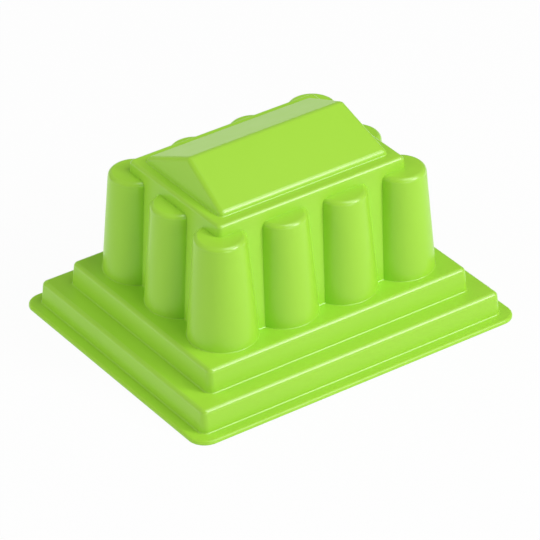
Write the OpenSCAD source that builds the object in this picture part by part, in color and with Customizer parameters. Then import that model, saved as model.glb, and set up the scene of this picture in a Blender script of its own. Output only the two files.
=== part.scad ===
// Sand mould in the shape of a small temple: one thin moulded shell, open underneath,
// that stands on the flat underside of its rim. The origin is at the middle of that
// underside, +X runs along the long side and +Z points up to the roof.

/* [Rim] */
// Length of the rim from side to side
rim_length = 160; // [130:1:200]
// Depth of the rim from front to back
rim_depth = 132; // [112:1:170]
// Thickness of the rim
rim_thickness = 1.8; // [1.2:0.1:2.6]
// Radius of the rim's corners in plan
rim_corner = 8; // [4:0.5:14]
// Rounding of the rim's upper edge
rim_rounding = 0.8; // [0.3:0.1:1.1]
// Width of the rim that shows outside the lower step
rim_ledge = 5.2; // [3:0.1:8]

/* [Shell] */
// Thickness of the walls
wall = 2; // [1.2:0.1:2.8]
// Radius of the cavity's upright corners
cavity_corner = 0.6; // [0.3:0.1:1.5]

/* [Steps] */
// Height of the lower step above the rim
lower_step_height = 10.2; // [6:0.1:16]
// Height of the upper step above the lower one
upper_step_height = 10.6; // [6:0.1:16]
// Width of the tread between the two steps
tread = 8.4; // [5:0.1:12]
// Slant of the steps' sides in degrees
step_draft = 5.8; // [2:0.1:9]
// Radius of the steps' upright corners at the top
step_corner = 2.3; // [2.1:0.1:5]
// Rounding of the steps' top edges
step_rounding = 2; // [0.5:0.1:2.1]

/* [Columns] */
// Columns along each long side, with the corner ones
long_side_columns = 4; // [3:1:6]
// Columns along each short side, with the corner ones
short_side_columns = 3; // [2:1:5]
// Diameter of a column at its foot
column_foot = 29.6; // [22:0.2:32]
// Diameter of a column at its top
column_top = 21.2; // [14:0.2:22]
// Rounding of a column's top edge
column_rounding = 2.2; // [0.5:0.1:4]
// Free strip of the upper step outside the columns on the short sides
side_margin = 5.2; // [2:0.1:9]
// Free strip of the upper step outside the columns on the long sides
front_margin = 4.7; // [2:0.1:9]
// Drop from the hall's top down to the columns' tops
column_drop = 4.9; // [2:0.1:10]

/* [Hall] */
// Height of the hall above the upper step
hall_height = 51.2; // [36:0.2:70]
// Distance from the columns' axes out to the hall's wall at its foot
hall_reach = 6.7; // [4:0.1:9]
// Slant of the hall's walls in degrees
hall_draft = 5.9; // [2:0.1:8]
// Radius of the hall's upright corners at the top
hall_corner = 1.9; // [1.8:0.1:4]
// Rounding of the hall's top edge
hall_rounding = 1.6; // [0.5:0.1:1.8]

/* [Roof] */
// Free strip of the hall's top outside the roof on the short sides
roof_side_ledge = 4.4; // [2:0.1:8]
// Free strip of the hall's top outside the roof on the long sides
roof_front_ledge = 5.1; // [2:0.1:8]
// Height of the upright lip under the eaves
lip_height = 2; // [1:0.1:4]
// Height of the ridge above the eaves
roof_rise = 11.8; // [7:0.1:18]
// Slant of the lip in degrees
lip_draft = 12; // [2:0.5:20]
// Slant of the gable ends in degrees
gable_draft = 12.8; // [4:0.2:20]
// Rounding of the eaves and the ridge
roof_rounding = 1.2; // [0.4:0.1:2]

/* [Hidden] */
$fn = 64;
// How far the cavity runs out below the rim
overrun = 1;
// Step to which worked-out lengths are rounded, so that faces that meet do so exactly
grain = 0.01;
function tidy(length) = round(length / grain) * grain;

// Heights of the levels above the rim's underside
lower_top = rim_thickness + lower_step_height;
upper_top = lower_top + upper_step_height;
hall_top = upper_top + hall_height;
columns_top = hall_top - column_drop;
eave = hall_top + lip_height;
ridge = eave + roof_rise;

// Half lengths and half depths in plan, at the foot of each stage
rim_half = [rim_length, rim_depth] / 2;
lower_half = rim_half - [rim_ledge, rim_ledge];
lower_lean = tidy(lower_step_height * tan(step_draft));
upper_half = lower_half - [lower_lean + tread, lower_lean + tread];
upper_lean = tidy(upper_step_height * tan(step_draft));
column_inset = upper_lean + column_foot / 2;
column_half = upper_half - [column_inset + side_margin, column_inset + front_margin];
hall_half = column_half + [hall_reach, hall_reach];
hall_lean = tidy(hall_height * tan(hall_draft));
roof_half = hall_half - [hall_lean + roof_side_ledge, hall_lean + roof_front_ledge];
column_lean = (column_foot - column_top) / 2 / (columns_top - upper_top);

// Axes of the columns: a full row along each long side, and the ones between on the short sides
long_row = [for (i = [0 : long_side_columns - 1]) 2 * i / (long_side_columns - 1) - 1];
short_row = [for (i = [0 : short_side_columns - 1]) 2 * i / (short_side_columns - 1) - 1];
column_places = concat(
    [for (along = long_row, side = [-1, 1]) [along * column_half.x, side * column_half.y]],
    [for (along = short_row, side = [-1, 1]) if (abs(along) < 1) [side * column_half.x, along * column_half.y]]
);

function unit(v) = v / norm(v);
function wrap(list, i) = list[(i + len(list)) % len(list)];

// Directions from point i of an outline to its two neighbours, and half the angle between them
function to_last(points, i) = unit(wrap(points, i - 1) - points[i]);
function to_next(points, i) = unit(wrap(points, i + 1) - points[i]);
function half_angle(points, i) = acos(to_last(points, i) * to_next(points, i)) / 2;

// Where the rounding of point i leaves the outline's straight edges, and the centre of its arc
function round_ends(points, radii, i) =
    let (setback = radii[i] / tan(half_angle(points, i)))
    [points[i] + setback * to_last(points, i), points[i] + setback * to_next(points, i)];
function round_centre(points, radii, i) =
    let (inward = unit(to_last(points, i) + to_next(points, i)))
    points[i] + inward * radii[i] / sin(half_angle(points, i));

// Convex outline whose corners are rounded, each by its own radius
module rounded_outline(points, radii) {
    polygon([
        for (i = [0 : len(points) - 1])
            each (radii[i] > 0 ? round_ends(points, radii, i) : [points[i]])
    ]);
    for (i = [0 : len(points) - 1])
        if (radii[i] > 0)
            translate(round_centre(points, radii, i))
                circle(r = radii[i]);
}

// Upright section, drawn in X and Z, drawn out along Y by half_run to both sides
module run_along_y(half_run) {
    rotate([90, 0, 0])
        linear_extrude(height = 2 * half_run, center = true)
            children();
}

// Section of a round post from its axis outwards
module post_section(foot_radius, top_radius, foot, top, rounding) {
    intersection() {
        rounded_outline(
            [[0, foot], [foot_radius, foot], [top_radius, top], [0, top]],
            [0, 0, rounding, 0]
        );
        translate([0, foot])
            square([foot_radius, top - foot]);
    }
}

// Section of a block: a post at either end and the straight stretch between their axes
module block_section(reach, foot_radius, top_radius, foot, top, rounding) {
    for (turned = [0, 1])
        mirror([turned, 0])
            translate([reach, 0])
                post_section(foot_radius, top_radius, foot, top, rounding);
    translate([-reach, foot])
        square([2 * reach, top - foot]);
}

// Block whose sides lean in by lean, with a quarter of a round post at each upright corner
module drafted_block(half, foot, top, lean, corner, rounding) {
    foot_radius = corner + lean;
    reach = half - [foot_radius, foot_radius];
    run_along_y(reach.y)
        block_section(reach.x, foot_radius, corner, foot, top, rounding);
    rotate([0, 0, 90])
        run_along_y(reach.x)
            block_section(reach.y, foot_radius, corner, foot, top, rounding);
    for (quarter = [0 : 3]) {
        side = [quarter == 0 || quarter == 3 ? 1 : -1, quarter < 2 ? 1 : -1];
        translate([side.x * reach.x, side.y * reach.y, 0])
            rotate([0, 0, quarter * 90])
                rotate_extrude(angle = 90)
                    post_section(foot_radius, corner, foot, top, rounding);
    }
}

// One stage of the shell, from low up to top; with an inset it is that stage's cavity,
// whose top edges stay sharp
module stage(half, low, foot, top, draft, corner, rounding, inset) {
    shift = tidy((foot - low) * tan(draft)) - inset;
    drafted_block(
        half + [shift, shift], low, top - inset, tidy((top - inset - low) * tan(draft)),
        inset > 0 ? max(corner - inset, cavity_corner) : corner,
        inset > 0 ? 0 : rounding
    );
}

module rim() {
    drafted_block(rim_half, 0, rim_thickness, 0, rim_corner, rim_rounding);
}

module lower_step(inset) {
    low = inset > 0 ? -overrun : 0;
    stage(lower_half, low, rim_thickness, lower_top, step_draft, step_corner, step_rounding, inset);
}

module upper_step(inset) {
    low = lower_top - wall - inset;
    stage(upper_half, low, lower_top, upper_top, step_draft, step_corner, step_rounding, inset);
}

module hall(inset) {
    low = upper_top - wall - inset;
    stage(hall_half, low, upper_top, hall_top, hall_draft, hall_corner, hall_rounding, inset);
}

module columns(inset) {
    low = upper_top - wall - inset;
    low_radius = column_foot / 2 - inset + (upper_top - low) * column_lean;
    high = columns_top - inset;
    high_radius = low_radius - (high - low) * column_lean;
    for (place = column_places)
        translate([place.x, place.y, 0])
            rotate_extrude()
                post_section(low_radius, high_radius, low, high, inset > 0 ? 0 : column_rounding);
}

// Gable roof on an upright lip, cut to length by its two leaning ends
module roof(inset) {
    low = hall_top - wall - inset;
    drop = eave - inset;
    top = ridge - inset;
    depth = roof_half.y - inset;
    low_depth = depth + (hall_top - low) * tan(lip_draft);
    eave_depth = depth - (drop - hall_top) * tan(lip_draft);
    low_length = roof_half.x - inset + (hall_top - low) * tan(gable_draft);
    top_length = low_length - (top - low) * tan(gable_draft);
    rounding = inset > 0 ? 0 : roof_rounding;
    intersection() {
        rotate([0, 0, 90])
            run_along_y(roof_half.x + wall + inset)
                rounded_outline(
                    [[-low_depth, low], [low_depth, low], [eave_depth, drop], [0, top], [-eave_depth, drop]],
                    [0, 0, rounding, rounding, rounding]
                );
        run_along_y(roof_half.y + wall + inset)
            polygon([[-low_length, low], [low_length, low], [top_length, top], [-top_length, top]]);
    }
}

// Everything that stands on the rim, as a solid form or, with an inset, as its cavity
module temple(inset) {
    lower_step(inset);
    upper_step(inset);
    hall(inset);
    columns(inset);
    roof(inset);
}

module mould_shell() {
    color("yellowgreen")
        difference() {
            union() {
                rim();
                temple(0);
            }
            temple(wall);
        }
}

mould_shell();
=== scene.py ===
"""Looks of a sand mould in the shape of a small temple: its lime plastic shell, the studio and the camera."""

from __future__ import annotations

import logging
import math
from collections.abc import Mapping
from dataclasses import dataclass, field
from enum import Enum

import bmesh
import bpy
from mathutils import Matrix, Vector

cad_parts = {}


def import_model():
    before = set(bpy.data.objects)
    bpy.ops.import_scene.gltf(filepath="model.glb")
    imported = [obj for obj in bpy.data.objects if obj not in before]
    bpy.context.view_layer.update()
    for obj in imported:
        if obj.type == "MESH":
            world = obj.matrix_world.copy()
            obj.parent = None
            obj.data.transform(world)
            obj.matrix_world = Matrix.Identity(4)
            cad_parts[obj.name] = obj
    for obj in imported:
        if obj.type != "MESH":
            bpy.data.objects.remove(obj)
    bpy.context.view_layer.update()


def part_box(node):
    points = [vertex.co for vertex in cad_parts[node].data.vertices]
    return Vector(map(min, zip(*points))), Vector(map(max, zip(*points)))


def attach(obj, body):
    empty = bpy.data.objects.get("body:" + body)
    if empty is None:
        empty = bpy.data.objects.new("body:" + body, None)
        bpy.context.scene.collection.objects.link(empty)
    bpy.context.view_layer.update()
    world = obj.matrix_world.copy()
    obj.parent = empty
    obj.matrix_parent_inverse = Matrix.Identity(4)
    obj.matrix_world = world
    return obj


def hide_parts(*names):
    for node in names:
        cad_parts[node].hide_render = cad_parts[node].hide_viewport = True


MM = 0.001
NODE = "mould_shell"
BODY = "root"
TOUCH = 1e-4  # Points this near each other, in millimetres, count as touching
MERGE = 1e-3  # Points this near each other, in millimetres, become one
FLAT = 0.01  # A bend this small, in radians, counts as flat

Plan = tuple[float, float]
Colour = tuple[float, float, float, float]
WHITE: Colour = (1.0, 1.0, 1.0, 1.0)

log = logging.getLogger("sand_mould")


class Cut(Enum):
    """How one solid of the moulding acts on another."""

    JOIN = "UNION"
    HOLLOW = "DIFFERENCE"


class Socket:
    """A shader value that takes part in Python expressions, which add Math nodes."""

    def __init__(self, graph: Graph, output: bpy.types.NodeSocket) -> None:
        """Wraps an output of one of the graph's nodes."""
        self.graph = graph
        self.output = output

    def other(self, name: str) -> Socket:
        """Another output of the same node, by its name."""
        return Socket(self.graph, self.output.node.outputs[name])

    def _math(self, operation: str, left: Socket | float, right: Socket | float) -> Socket:
        """Adds a Math node for one operation on two values."""
        return self.graph.add("ShaderNodeMath", {"operation": operation}, {0: left, 1: right})

    def __add__(self, value: Socket | float) -> Socket:
        """Sum of this value and another."""
        return self._math("ADD", self, value)

    def __radd__(self, value: float) -> Socket:
        """Sum of a number and this value."""
        return self._math("ADD", value, self)

    def __mul__(self, value: Socket | float) -> Socket:
        """Product of this value and another."""
        return self._math("MULTIPLY", self, value)

    def __rmul__(self, value: float) -> Socket:
        """Product of a number and this value."""
        return self._math("MULTIPLY", value, self)


class Graph:
    """The nodes of a material or a world, begun afresh."""

    def __init__(self, tree: bpy.types.NodeTree) -> None:
        """Takes over a node tree and empties it."""
        self.tree = tree
        tree.nodes.clear()

    def add(
        self,
        kind: str,
        settings: Mapping[str, object] | None = None,
        sockets: Mapping[str | int, object] | None = None,
        output: str | int = 0,
    ) -> Socket | None:
        """Adds a node, sets it up and fills its sockets.

        Args:
            kind: the node's type.
            settings: its properties, set first.
            sockets: a number, a colour or a link for each input, by name or by place.
            output: the output to hand back.

        Returns:
            That output, or None where the node has none.
        """
        node = self.tree.nodes.new(kind)
        for name, value in (settings or {}).items():
            setattr(node, name, value)
        for key, value in (sockets or {}).items():
            if isinstance(value, Socket):
                self.tree.links.new(value.output, node.inputs[key])
            else:
                node.inputs[key].default_value = value
        return Socket(self, node.outputs[output]) if len(node.outputs) else None

    def blend(self, amount: Socket | float, first: Socket | Colour, second: Socket | Colour) -> Socket:
        """Colour between two others, by an amount from 0 to 1."""
        return self.add("ShaderNodeMix", {"data_type": "RGBA"}, {0: amount, 6: first, 7: second}, output=2)


def piece_from(name: str, mesh: bmesh.types.BMesh) -> bpy.types.Object:
    """Turns a mesh into an object of the scene.

    Args:
        name: name of the object and its data.
        mesh: the mesh, which is used up.

    Returns:
        The new object, at the origin.
    """
    data = bpy.data.meshes.new(name)
    mesh.to_mesh(data)
    mesh.free()
    piece = bpy.data.objects.new(name, data)
    bpy.context.scene.collection.objects.link(piece)
    return piece


def mesh_from(piece: bpy.types.Object) -> bmesh.types.BMesh:
    """Turns an object back into a mesh, with its modifiers carried out.

    Args:
        piece: the object, which is used up.

    Returns:
        The finished mesh.
    """
    mesh = bmesh.new()
    mesh.from_object(piece, bpy.context.evaluated_depsgraph_get())
    bpy.data.meshes.remove(piece.data)
    return mesh


@dataclass(frozen=True)
class LimePlastic:
    """Finish of the shell: semi-gloss lime polypropylene with faint flow marks and softly moulded edges."""

    name: str = "lime_polypropylene"
    lime: Colour = (0.408, 0.765, 0.056, 1.0)
    deep: Colour = (0.383, 0.735, 0.046, 1.0)
    flow_scale: tuple[float, float, float] = (26.0, 26.0, 9.0)
    flow_detail: float = 3.0
    gloss_roughness: float = 0.285
    haze_roughness: float = 0.36
    haze_scale: float = 130.0
    haze_detail: float = 4.0
    grain_scale: float = 2200.0
    grain_detail: float = 2.0
    grain_strength: float = 0.035
    grain_depth: float = 0.00002
    specular: float = 0.4
    edge_radius: float = 0.0002
    edge_samples: int = 8
    polish: float = 0.85
    polish_roughness: float = 0.3
    polish_mark: str = "edge_polish"

    def material(self) -> bpy.types.Material:
        """Builds the material on Object coordinates, so that it stays put on the shell.

        Returns:
            The new material.
        """
        material = bpy.data.materials.new(self.name)
        material.use_nodes = True
        graph = Graph(material.node_tree)
        place = graph.add("ShaderNodeTexCoord", output="Object")
        stretched = graph.add("ShaderNodeMapping", None, {"Vector": place, "Scale": self.flow_scale})
        flow = self._noise(graph, stretched, 1.0, self.flow_detail)
        haze = self._noise(graph, place, self.haze_scale, self.haze_detail)
        grain = self._noise(graph, place, self.grain_scale, self.grain_detail)
        worn = graph.add("ShaderNodeAttribute", {"attribute_name": self.polish_mark}, output="Fac")
        edges = graph.add("ShaderNodeBevel", {"samples": self.edge_samples}, {"Radius": self.edge_radius})
        bump = graph.add(
            "ShaderNodeBump",
            None,
            {"Strength": self.grain_strength, "Distance": self.grain_depth, "Height": grain, "Normal": edges},
        )
        shader = graph.add(
            "ShaderNodeBsdfPrincipled",
            None,
            {
                "Base Color": graph.blend(flow, self.lime, self.deep),
                "Roughness": self.gloss_roughness + (self.haze_roughness - self.gloss_roughness) * haze,
                "Normal": bump,
                "Specular IOR Level": self.specular,
                "Coat Weight": self.polish * worn,
                "Coat Roughness": self.polish_roughness,
            },
        )
        graph.add("ShaderNodeOutputMaterial", None, {"Surface": shader})
        return material

    @staticmethod
    def _noise(graph: Graph, place: Socket, scale: float, detail: float) -> Socket:
        """Uneven amount from 0 to 1 over the shell."""
        return graph.add("ShaderNodeTexNoise", None, {"Vector": place, "Scale": scale, "Detail": detail})


@dataclass(frozen=True)
class Stage:
    """One drafted stage of the moulding, in millimetres: a block, or a round column where half is its radius.

    Its section is drawn as that of a round post, which is spun and then pulled apart into a block.
    """

    half: Plan
    foot: float
    top: float
    lean: float
    corner: float
    rounding: float
    cove: float = 0.75
    bury: float = 1.0
    turns: int = 64
    segments: int = 6
    core: float = 0.1
    cavity_corner: float = 0.6
    cavity_rounding: float = 0.4
    sink_share: float = 0.04

    def solid(self, inset: float = 0.0) -> bmesh.types.BMesh:
        """Builds the stage as a closed solid.

        Args:
            inset: thickness of the wall for the stage's cavity, or 0 for its outside.

        Returns:
            The solid's mesh, in millimetres.
        """
        foot = self.foot - inset
        top = self.top - inset
        top_radius = max(self.corner - inset, self.cavity_corner) if inset else self.corner
        foot_radius = top_radius + (top - foot) * self.lean
        rise = inset * (1.0 - self.lean)
        reach = Vector((self.half[0] - rise - foot_radius, self.half[1] - rise - foot_radius, 0.0))
        mesh = self._section(foot, top, foot_radius, top_radius, self.cavity_rounding if inset else self.rounding)
        bmesh.ops.rotate(mesh, verts=mesh.verts, matrix=Matrix.Rotation(math.pi / self.turns, 3, "Z"))
        bmesh.ops.spin(
            mesh,
            geom=mesh.verts[:] + mesh.edges[:],
            axis=(0.0, 0.0, 1.0),
            angle=2.0 * math.pi,
            steps=self.turns,
            use_merge=True,
        )
        self._pull_apart(mesh, reach)
        bmesh.ops.holes_fill(mesh, edges=[edge for edge in mesh.edges if edge.is_boundary], sides=0)
        bmesh.ops.recalc_face_normals(mesh, faces=mesh.faces)
        return mesh

    def _section(
        self, foot: float, top: float, foot_radius: float, top_radius: float, rounding: float
    ) -> bmesh.types.BMesh:
        """Draws the upright section of the post as a wire, from its flat top out and down into the stage below.

        Args:
            foot: height at which the wall meets the tread below.
            top: height of the flat top.
            foot_radius: radius of the post at its foot.
            top_radius: radius of the post at its top.
            rounding: radius of the top edge.

        Returns:
            The wire, with its top edge and the hollow at its foot rounded.
        """
        mesh = bmesh.new()
        sink = self.cove * self.sink_share
        outer = foot_radius + 2.0 * self.cove
        corners = [
            (self.core, top),
            (top_radius, top),
            (foot_radius + sink * self.lean, foot - sink),
            (outer, foot - sink),
            (outer, foot - sink - self.bury),
        ]
        wire = [mesh.verts.new((radius, 0.0, height)) for radius, height in corners]
        for start, end in zip(wire, wire[1:]):
            mesh.edges.new((start, end))
        setback = math.tan((math.pi / 2.0 - math.atan(self.lean)) / 2.0)
        for corner, radius in ((wire[1], rounding), (wire[2], self.cove)):
            bmesh.ops.bevel(
                mesh,
                geom=[corner],
                offset=radius * setback,
                offset_type="OFFSET",
                segments=self.segments,
                profile=0.5,
                affect="VERTICES",
                material=-1,
            )
        return mesh

    @staticmethod
    def _pull_apart(mesh: bmesh.types.BMesh, reach: Vector) -> None:
        """Moves the four quarters of a round post to the corners of a block.

        Args:
            mesh: the post, with no vertex on the planes between its quarters.
            reach: place of the corner in the positive quarter.
        """
        quarters = [
            (Vector((x * reach.x, y * reach.y, 0.0)), [v for v in mesh.verts if v.co.x * x > 0.0 and v.co.y * y > 0.0])
            for x in (-1.0, 1.0)
            for y in (-1.0, 1.0)
        ]
        for shift, verts in quarters:
            bmesh.ops.translate(mesh, verts=verts, vec=shift)


@dataclass(frozen=True)
class Rim:
    """Flat rim on which the mould stands, in millimetres."""

    half: Plan
    thickness: float = 1.8
    corner: float = 8.0
    rounding: float = 1.2
    under_rounding: float = 0.3
    segments: int = 6
    corner_segments: int = 24

    def solid(self) -> bmesh.types.BMesh:
        """Builds the rim as a plate with rounded corners and edges.

        Returns:
            The plate's mesh, in millimetres.
        """
        mesh = bmesh.new()
        bmesh.ops.create_cube(mesh, size=1.0)
        bmesh.ops.translate(mesh, verts=mesh.verts, vec=(0.0, 0.0, 0.5))
        bmesh.ops.scale(mesh, verts=mesh.verts, vec=(2.0 * self.half[0], 2.0 * self.half[1], self.thickness))
        upright = [edge for edge in mesh.edges if edge.verts[0].co.z != edge.verts[1].co.z]
        self._round(mesh, upright, self.corner, self.corner_segments)
        for height, radius in ((self.thickness, self.rounding), (0.0, self.under_rounding)):
            loop = [edge for edge in mesh.edges if all(abs(v.co.z - height) < TOUCH for v in edge.verts)]
            self._round(mesh, loop, radius, self.segments)
        return mesh

    @staticmethod
    def _round(mesh: bmesh.types.BMesh, edges: list[bmesh.types.BMEdge], radius: float, segments: int) -> None:
        """Rounds some edges of the plate.

        Args:
            mesh: the plate.
            edges: the edges to round.
            radius: their radius.
            segments: faces across each rounding.
        """
        bmesh.ops.bevel(
            mesh,
            geom=edges,
            offset=radius,
            offset_type="OFFSET",
            segments=segments,
            profile=0.5,
            affect="EDGES",
            material=-1,
        )


@dataclass(frozen=True)
class GableRoof:
    """Low gable roof on an upright lip, in millimetres."""

    half: Plan
    foot: float
    eave: float
    ridge: float
    lip_lean: float
    gable_lean: float
    rounding: float = 1.3
    gable_rounding: float = 2.0
    cavity_rounding: float = 0.3
    cove: float = 0.5
    bury: float = 1.0
    segments: int = 5
    sink_share: float = 0.04

    def solid(self, inset: float = 0.0) -> bmesh.types.BMesh:
        """Builds the roof as a closed solid.

        Args:
            inset: thickness of the wall for the roof's cavity, or 0 for its outside.

        Returns:
            The solid's mesh, in millimetres.
        """
        foot = self.foot - inset + self.cove
        mesh = bmesh.new()
        bmesh.ops.create_cube(mesh, size=2.0)
        under, over = ([v for v in mesh.verts if v.co.z == side] for side in (-1.0, 1.0))
        for level, height in ((under, foot), (over, self.eave - inset)):
            length, depth = self._half_at(height, inset)
            bmesh.ops.scale(mesh, verts=level, vec=(length, depth, 0.0))
            bmesh.ops.translate(mesh, verts=level, vec=(0.0, 0.0, height))
        self._raise_ridge(mesh, inset)
        flat = [edge for edge in mesh.edges if edge.calc_face_angle(0.0) < FLAT]
        bmesh.ops.dissolve_edges(mesh, edges=flat)
        mesh = self._round_edges(mesh, inset)
        self._flare_foot(mesh, foot)
        bmesh.ops.recalc_face_normals(mesh, faces=mesh.faces)
        return mesh

    def _half_at(self, height: float, inset: float) -> Plan:
        """Half length and half depth of the lip at a height."""
        rise = height - self.foot
        return self.half[0] - inset - rise * self.gable_lean, self.half[1] - inset - rise * self.lip_lean

    def _raise_ridge(self, mesh: bmesh.types.BMesh, inset: float) -> None:
        """Draws the top of the lip up and closes it to a ridge.

        Args:
            mesh: the lip, as a block.
            inset: thickness of the wall, or 0.
        """
        top = max(mesh.faces, key=lambda face: face.calc_center_median().z)
        length, height = max(v.co.x for v in top.verts), top.verts[0].co.z
        grown = bmesh.ops.extrude_face_region(mesh, geom=[top])["geom"]
        if top.is_valid:
            bmesh.ops.delete(mesh, geom=[top], context="FACES_ONLY")
        peak = [item for item in grown if isinstance(item, bmesh.types.BMVert)]
        ridge = self.ridge - inset
        bmesh.ops.scale(mesh, verts=peak, vec=(self._half_at(ridge, inset)[0] / length, 0.0, 1.0))
        bmesh.ops.translate(mesh, verts=peak, vec=(0.0, 0.0, ridge - height))
        bmesh.ops.remove_doubles(mesh, verts=mesh.verts, dist=TOUCH)

    def _round_edges(self, mesh: bmesh.types.BMesh, inset: float) -> bmesh.types.BMesh:
        """Rounds the roof's edges, those of the gables wider than the ridge and the eaves.

        Args:
            mesh: the roof with sharp edges, which is used up.
            inset: thickness of the wall, or 0.

        Returns:
            The rounded roof, whose underside keeps its sharp edge.
        """
        width = self.cavity_rounding if inset else self.gable_rounding
        narrow = 1.0 if inset else self.rounding / self.gable_rounding
        weight = mesh.edges.layers.float.new("bevel_weight_edge")
        for edge in mesh.edges:
            low, high = sorted(v.co.z for v in edge.verts)
            if high > self.eave - inset - self.cove:
                edge[weight] = 1.0 if high - low > self.cove else narrow
        piece = piece_from("rounded_roof", mesh)
        bevel = piece.modifiers.new("rounding", "BEVEL")
        bevel.limit_method = "WEIGHT"
        bevel.offset_type = "OFFSET"
        bevel.width = width
        bevel.segments = self.segments
        bevel.profile = 0.5
        bevel.material = -1
        bevel.use_clamp_overlap = False
        return mesh_from(piece)

    def _flare_foot(self, mesh: bmesh.types.BMesh, foot: float) -> None:
        """Widens the foot of the lip where it runs out into the hall's top, and sinks it.

        Args:
            mesh: the roof, open to change at its flat underside.
            foot: height of that underside.
        """
        turns = [math.pi / 2.0 * step / self.segments for step in range(self.segments + 1)]
        arc = [(1.0 - math.cos(turn), (1.0 + self.sink_share) * math.sin(turn)) for turn in turns]
        steps = [(self.cove * (b[0] - a[0]), self.cove * (b[1] - a[1])) for a, b in zip(arc, arc[1:])]
        for spread, drop in (*steps, (0.0, self.bury)):
            under = min(mesh.faces, key=lambda face: face.calc_center_median().z)
            length, depth = (max(v.co[axis] for v in under.verts) for axis in (0, 1))
            grown = bmesh.ops.extrude_face_region(mesh, geom=[under])["geom"]
            if under.is_valid:
                bmesh.ops.delete(mesh, geom=[under], context="FACES_ONLY")
            loop = [item for item in grown if isinstance(item, bmesh.types.BMVert)]
            bmesh.ops.scale(mesh, verts=loop, vec=((length + spread) / length, (depth + spread) / depth, 1.0))
            bmesh.ops.translate(mesh, verts=loop, vec=(0.0, 0.0, -drop))


@dataclass(frozen=True)
class Colonnade:
    """Ring of tapered columns round the hall, in millimetres."""

    half: Plan
    foot: float
    top: float
    foot_radius: float
    top_radius: float
    rounding: float = 2.2
    cove: float = 0.45
    along: int = 4
    across: int = 3
    turns: int = 96

    def places(self) -> list[Plan]:
        """Axes of the columns in plan.

        Returns:
            A full row along each long side, and the columns between on the short sides.
        """
        row = [2.0 * step / (self.along - 1) - 1.0 for step in range(self.along)]
        file = [2.0 * step / (self.across - 1) - 1.0 for step in range(1, self.across - 1)]
        long_sides = [(x * self.half[0], y * self.half[1]) for x in row for y in (-1.0, 1.0)]
        return long_sides + [(x * self.half[0], y * self.half[1]) for x in (-1.0, 1.0) for y in file]

    def solids(self, inset: float = 0.0) -> list[bmesh.types.BMesh]:
        """Builds the columns, or their cavities.

        Args:
            inset: thickness of the wall for the cavities, or 0 for the outside.

        Returns:
            One closed solid for each column, in millimetres.
        """
        column = Stage(
            half=(self.foot_radius, self.foot_radius),
            foot=self.foot,
            top=self.top,
            lean=(self.foot_radius - self.top_radius) / (self.top - self.foot),
            corner=self.top_radius,
            rounding=self.rounding,
            cove=self.cove,
            turns=self.turns,
        )
        solids = []
        for x, y in self.places():
            solid = column.solid(inset)
            bmesh.ops.translate(solid, verts=solid.verts, vec=(x, y, 0.0))
            solids.append(solid)
        return solids


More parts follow.
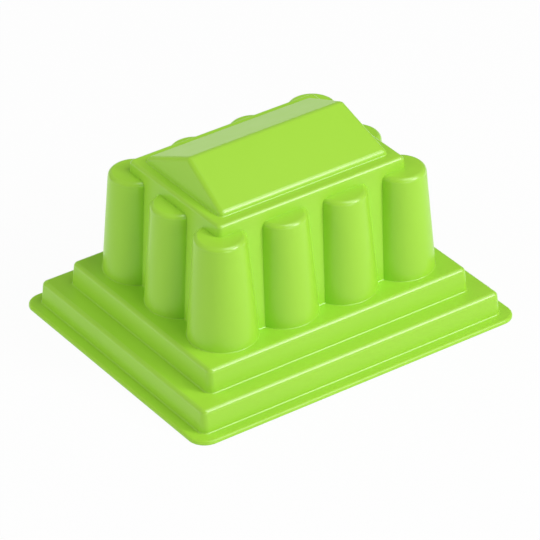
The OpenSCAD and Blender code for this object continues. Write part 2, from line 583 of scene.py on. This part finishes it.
@dataclass(frozen=True)
class MouldShell:
    """The whole moulding: rim, two steps, columns, hall and roof in one wall, open underneath, in millimetres."""

    rim: Rim
    wall: float = 2.0
    lower_step: Stage = Stage((74.8, 60.8), 1.8, 12.0, 0.1016, 2.3, 2.0)
    upper_step: Stage = Stage((65.36, 51.36), 12.0, 22.6, 0.1016, 2.3, 2.0)
    hall: Stage = Stage((50.98, 37.48), 22.6, 73.8, 0.1033, 1.9, 1.6)
    colonnade: Colonnade = Colonnade((44.28, 30.78), 22.6, 68.9, 14.8, 10.6)
    roof: GableRoof = GableRoof((41.29, 27.09), 73.8, 75.8, 87.6, 0.2126, 0.2272)
    bow: float = 0.84
    bow_reach: Plan = (48.0, 66.0)
    bow_height: Plan = (24.0, 46.0)
    sharp_angle: float = math.radians(40.0)
    polish_bend: Plan = (math.radians(10.0), math.radians(30.0))
    level_slope: float = 0.2
    broad_face: float = 80.0
    plain_edge: float = 3.0
    finish: LimePlastic = field(default_factory=LimePlastic)

    def build(self) -> bpy.types.Object:
        """Builds the shell and dresses it.

        Returns:
            The shell's object, in metres, standing for the CAD node.
        """
        stages = (self.lower_step, self.upper_step, self.hall, self.roof)
        outside = [self.rim.solid(), *(stage.solid() for stage in stages), *self.colonnade.solids()]
        inside = [*(stage.solid(self.wall) for stage in stages), *self.colonnade.solids(self.wall)]
        body = self._combine(outside, Cut.JOIN)
        cavity = self._combine(inside, Cut.JOIN)
        mesh = self._combine([body, cavity], Cut.HOLLOW)
        bmesh.ops.remove_doubles(mesh, verts=mesh.verts, dist=MERGE)
        bmesh.ops.dissolve_degenerate(mesh, edges=mesh.edges, dist=MERGE)
        self._bow_sides(mesh)
        self._mark_edges(mesh)
        bmesh.ops.scale(mesh, verts=mesh.verts, vec=(MM, MM, MM))
        shell = piece_from("temple_shell", mesh)
        shell.data.shade_smooth()
        shell.data.set_sharp_from_angle(angle=self.sharp_angle)
        normals = shell.modifiers.new("even_shading", "WEIGHTED_NORMAL")
        normals.keep_sharp = True
        shell.data.materials.append(self.finish.material())
        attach(shell, BODY)
        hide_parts(NODE)
        return shell

    @staticmethod
    def _combine(solids: list[bmesh.types.BMesh], cut: Cut) -> bmesh.types.BMesh:
        """Joins solids to the first one, or cuts them out of it.

        Args:
            solids: closed solids, which are used up.
            cut: what the later solids do to the first.

        Returns:
            The one solid that results.
        """
        pieces = [piece_from(f"{cut.name.lower()}_{number}", solid) for number, solid in enumerate(solids)]
        for tool in pieces[1:]:
            boolean = pieces[0].modifiers.new(tool.name, "BOOLEAN")
            boolean.operation = cut.value
            boolean.solver = "MANIFOLD"
            boolean.object = tool
        made = mesh_from(pieces[0])
        for tool in pieces[1:]:
            bpy.data.meshes.remove(tool.data)
        return made

    def _bow_sides(self, mesh: bmesh.types.BMesh) -> None:
        """Draws the middle of the short sides in a little, as the moulding has cooled.

        Args:
            mesh: the whole shell, in millimetres.
        """
        near, far = self.bow_reach
        low, high = self.bow_height
        half_depth = self.rim.half[1]
        for vert in mesh.verts:
            out = min(max((abs(vert.co.x) - near) / (far - near), 0.0), 1.0)
            down = min(max((high - vert.co.z) / (high - low), 0.0), 1.0)
            middle = 1.0 - (vert.co.y / half_depth) ** 2
            vert.co.x -= math.copysign(self.bow * out * down * middle, vert.co.x)

    def _mark_edges(self, mesh: bmesh.types.BMesh) -> None:
        """Marks the level rounded edges and hollows above the rim, which come glossier from the mould.

        Args:
            mesh: the whole shell, in millimetres.
        """
        low, high = self.polish_bend
        inner = [half - self.plain_edge for half in self.rim.half]
        mark = mesh.verts.layers.float.new(self.finish.polish_mark)
        for vert in mesh.verts:
            level = [edge for edge in vert.link_edges if self._is_level(edge)]
            bend = max((edge.calc_face_angle(0.0) for edge in level), default=0.0)
            broad = max(face.calc_area() for face in vert.link_faces) > self.broad_face
            on_rim = abs(vert.co.x) > inner[0] or abs(vert.co.y) > inner[1]
            vert[mark] = float(low < bend < high and not broad and not on_rim)

    def _is_level(self, edge: bmesh.types.BMEdge) -> bool:
        """Whether an edge runs nearly level."""
        start, end = edge.verts
        return abs(start.co.z - end.co.z) < self.level_slope * edge.calc_length()


@dataclass(frozen=True)
class SoftLamp:
    """Round soft lamp that shines at the mould; lengths are in metres and power in watts.

    A lamp that only fills the shade doesn't show in the gloss.
    """

    name: str
    direction: tuple[float, float, float]
    distance: float
    size: float
    power: float
    in_gloss: bool = True

    def hang(self) -> None:
        """Hangs the lamp in the scene, out of the camera's sight."""
        direction = Vector(self.direction).normalized()
        data = bpy.data.lights.new(self.name, "AREA")
        data.shape = "DISK"
        data.size = self.size
        data.energy = self.power
        lamp = bpy.data.objects.new(self.name, data)
        lamp.location = direction * self.distance
        lamp.rotation_euler = direction.to_track_quat("Z", "Y").to_euler()
        lamp.visible_camera = False
        lamp.visible_glossy = self.in_gloss
        bpy.context.scene.collection.objects.link(lamp)


@dataclass(frozen=True)
class Studio:
    """White table in an even soft light, with three lamps at the front and above, and two that fill the shade.

    Lengths are in metres.
    """

    floor_half: float = 4.0
    floor_white: Colour = (0.86, 0.86, 0.86, 1.0)
    floor_lift: float = 0.95
    sky_strength: float = 0.17
    key: SoftLamp = SoftLamp("key_lamp", (0.476, -0.695, 0.539), 1.3, 0.4, 5.9)
    over: SoftLamp = SoftLamp("over_lamp", (0.249, -0.398, 0.883), 1.4, 1.0, 8.0)
    left: SoftLamp = SoftLamp("left_lamp", (-0.833, 0.337, 0.438), 1.5, 1.4, 8.8, in_gloss=False)
    front: SoftLamp = SoftLamp("front_lamp", (0.000, -0.978, 0.208), 1.3, 0.6, 2.2)
    back: SoftLamp = SoftLamp("back_lamp", (0.033, 0.939, 0.342), 1.3, 0.8, 2.8, in_gloss=False)

    def build(self) -> None:
        """Lays the floor, and lights the scene."""
        self._lay_floor()
        self._light_world()
        for lamp in (self.key, self.over, self.left, self.front, self.back):
            lamp.hang()

    @staticmethod
    def _seen(graph: Graph) -> Socket:
        """Amount that is 1 for what the camera sees, directly or in a gloss or a clear body."""
        path = graph.add("ShaderNodeLightPath", output="Is Camera Ray")
        return path + path.other("Is Glossy Ray") + path.other("Is Transmission Ray")

    def _lay_floor(self) -> None:
        """Lays a wide white floor that keeps the mould's soft shadow."""
        mesh = bmesh.new()
        bmesh.ops.create_grid(mesh, x_segments=1, y_segments=1, size=self.floor_half)
        floor = piece_from("floor", mesh)
        material = bpy.data.materials.new("white_table")
        material.use_nodes = True
        material.cycles.emission_sampling = "NONE"
        graph = Graph(material.node_tree)
        matt = graph.add("ShaderNodeBsdfDiffuse", None, {"Color": self.floor_white})
        white = graph.add("ShaderNodeEmission", None, {"Color": WHITE, "Strength": 1.0})
        shown = graph.add("ShaderNodeMixShader", None, {0: self._seen(graph) * self.floor_lift, 1: matt, 2: white})
        graph.add("ShaderNodeOutputMaterial", None, {"Surface": shown})
        floor.data.materials.append(material)

    def _light_world(self) -> None:
        """Gives the world an even soft light."""
        world = bpy.data.worlds.new("soft_room")
        world.use_nodes = True
        graph = Graph(world.node_tree)
        light = graph.add("ShaderNodeBackground", None, {"Color": WHITE, "Strength": self.sky_strength})
        graph.add("ShaderNodeOutputWorld", None, {"Surface": light})
        bpy.context.scene.world = world


@dataclass(frozen=True)
class PhotoCamera:
    """Camera that looks at the mould as the photograph does; angles are in degrees and lengths in metres."""

    azimuth: float = -34.455
    elevation: float = 32.636
    roll: float = -1.056
    distance: float = 1.6455
    aim: tuple[float, float, float] = (-0.003517, -0.005898, 0.024299)
    lens: float = 267.77
    sensor: float = 36.0
    sight: float = 20.0

    def build(self) -> None:
        """Sets the camera up and makes it the scene's own."""
        turn, lift = math.radians(self.azimuth), math.radians(self.elevation)
        back = Vector((math.sin(turn) * math.cos(lift), -math.cos(turn) * math.cos(lift), math.sin(lift)))
        data = bpy.data.cameras.new("photo_camera")
        data.lens = self.lens
        data.sensor_width = self.sensor
        data.clip_end = self.sight
        camera = bpy.data.objects.new("photo_camera", data)
        upright = Matrix.Rotation(turn, 3, "Z") @ Matrix.Rotation(math.pi / 2.0 - lift, 3, "X")
        tilted = upright @ Matrix.Rotation(math.radians(self.roll), 3, "Z")
        camera.matrix_world = Matrix.Translation(Vector(self.aim) + back * self.distance) @ tilted.to_4x4()
        bpy.context.scene.collection.objects.link(camera)
        bpy.context.scene.camera = camera


def main() -> None:
    """Loads the frame and builds the shell, the studio and the camera."""
    logging.basicConfig(level=logging.INFO, format="%(name)s: %(message)s")
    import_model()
    bpy.context.scene.view_settings.view_transform = "Standard"
    _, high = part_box(NODE)
    shell = MouldShell(rim=Rim((high.x / MM, high.y / MM))).build()
    log.info("%s: %d faces on %s", shell.name, len(shell.data.polygons), BODY)
    Studio().build()
    log.info("studio: floor, world and five soft lamps")
    PhotoCamera().build()
    log.info("camera: lens %.1f mm", bpy.context.scene.camera.data.lens)


if __name__ == "__main__":
    main()
